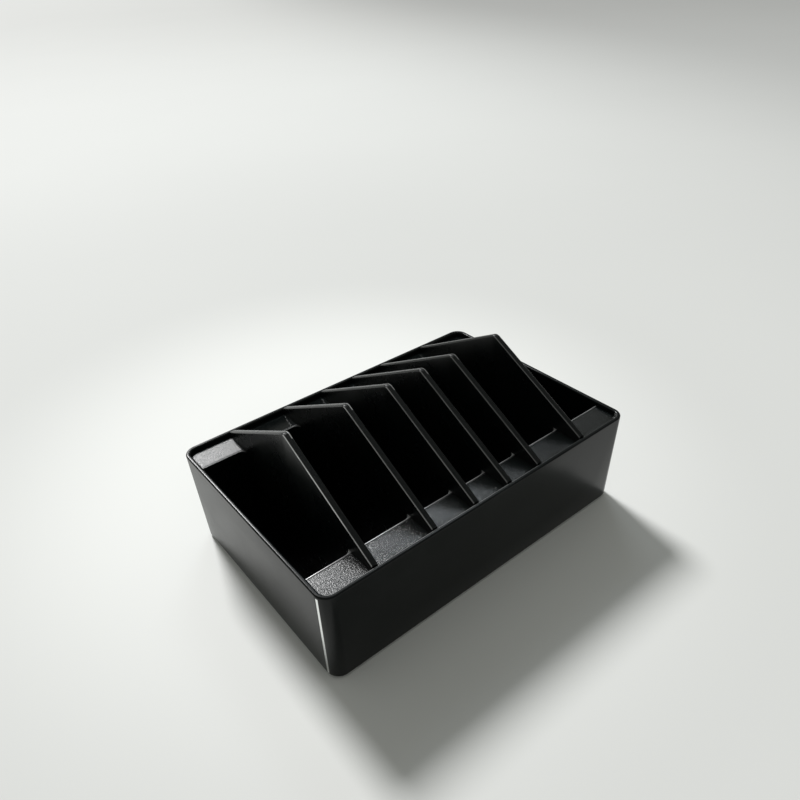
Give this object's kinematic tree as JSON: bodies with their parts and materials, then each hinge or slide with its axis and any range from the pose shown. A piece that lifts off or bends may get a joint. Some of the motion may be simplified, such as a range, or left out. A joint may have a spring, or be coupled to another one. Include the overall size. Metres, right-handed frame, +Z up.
{
  "type": "hobby workstation organizer",
  "caption": "Low open desk caddy with drafted walls and fixed gabled dividers, whose narrow wells hold small hand tools upright.",
  "frame": {"origin": "on the table, under the middle of the case, at the underside of the feet", "axes": "+X along the length towards the end with the wide last well, +Y across, +Z up"},
  "size_m": [0.13, 0.0876, 0.0602],
  "materials": {
    "case": "semi-gloss black, smooth",
    "insert": "semi-gloss black, ledges and divider tops finely grained",
    "screws": "zinc plated",
    "feet": "matte black"
  },
  "bodies": {
    "root": {"outer_case": "case", "divider_insert": "insert", "insert_screws": "screws", "foot_front_left": "feet", "foot_front_right": "feet", "foot_back_left": "feet", "foot_back_right": "feet"}
  },
  "joints": []
}
